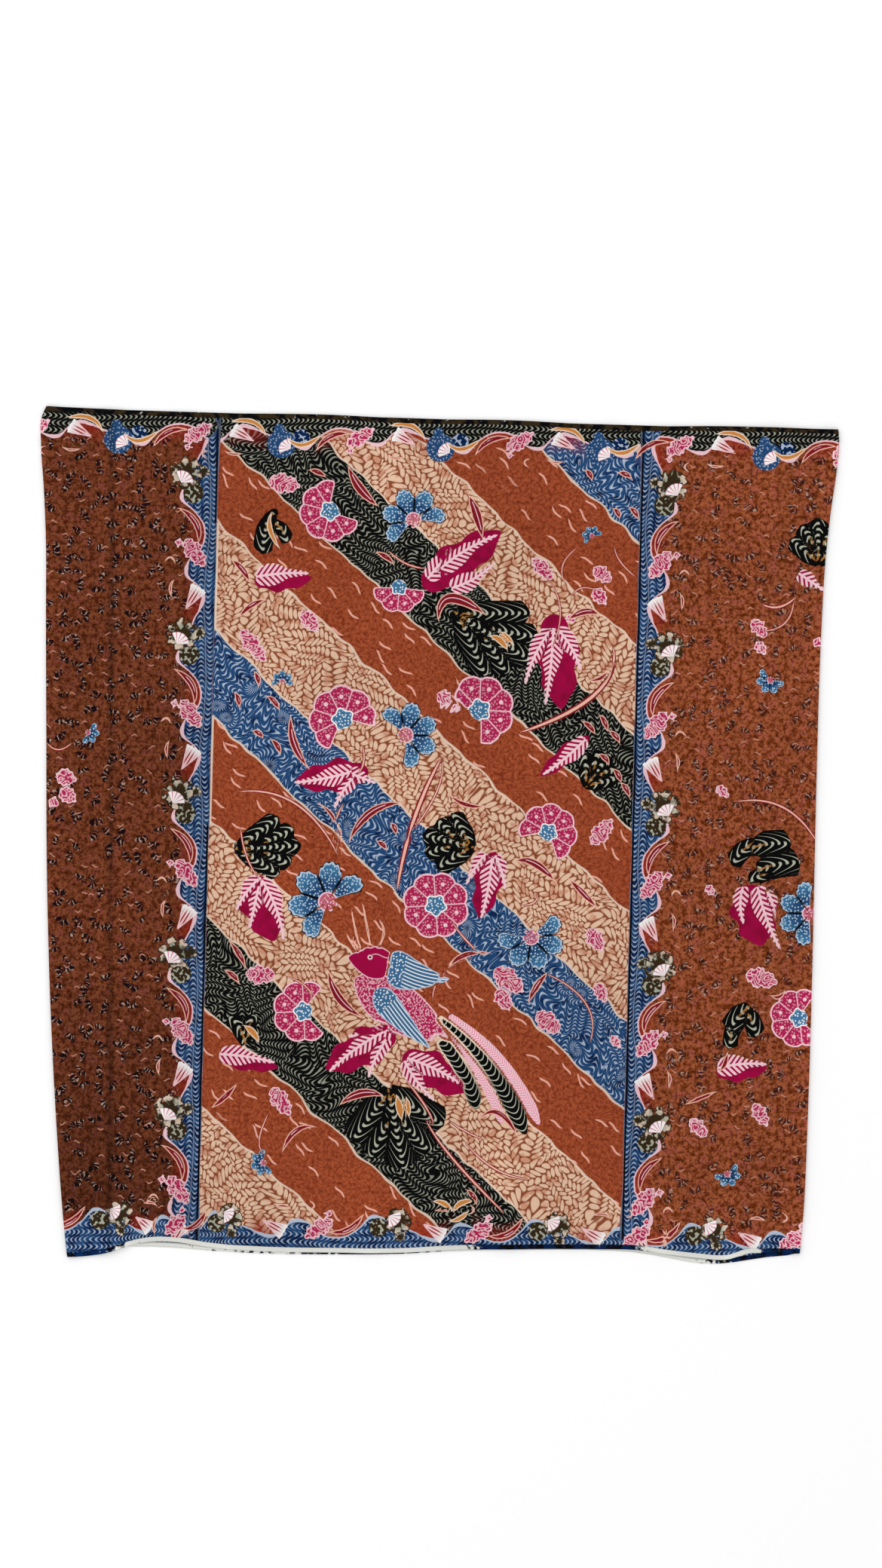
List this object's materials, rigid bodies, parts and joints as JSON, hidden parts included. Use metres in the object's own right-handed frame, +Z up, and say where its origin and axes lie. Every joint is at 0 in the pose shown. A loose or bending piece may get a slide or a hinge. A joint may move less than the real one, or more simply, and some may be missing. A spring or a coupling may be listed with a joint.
{
  "type": "batik sarong",
  "caption": "Batik sarong: a loom-wide cotton cloth sewn into a tube and laid flat, with its banded head panel facing up; worn wrapped and folded at the waist.",
  "frame": {"origin": "middle of the laid tube's bounding box, on the surface that it lies on", "axes": "+Z up off the surface, +Y along the cloth towards the waist edge, +X across the tube to the right as its front is seen"},
  "size_m": [1.012, 1.0784, 0.0059],
  "materials": {
    "batik_cotton": "hand-dyed plain-weave cotton, matt with a faint calendered sheen",
    "undyed_selvage": "woven cotton edge left undyed, matt"
  },
  "bodies": {
    "root": {"front_panel": "batik_cotton", "back_panel_left": "batik_cotton", "back_panel_right": "batik_cotton", "side_seam": "batik_cotton", "front_bottom_selvage": "undyed_selvage", "front_waist_selvage": "undyed_selvage", "back_bottom_selvage": "undyed_selvage", "back_waist_selvage": "undyed_selvage"}
  },
  "joints": []
}
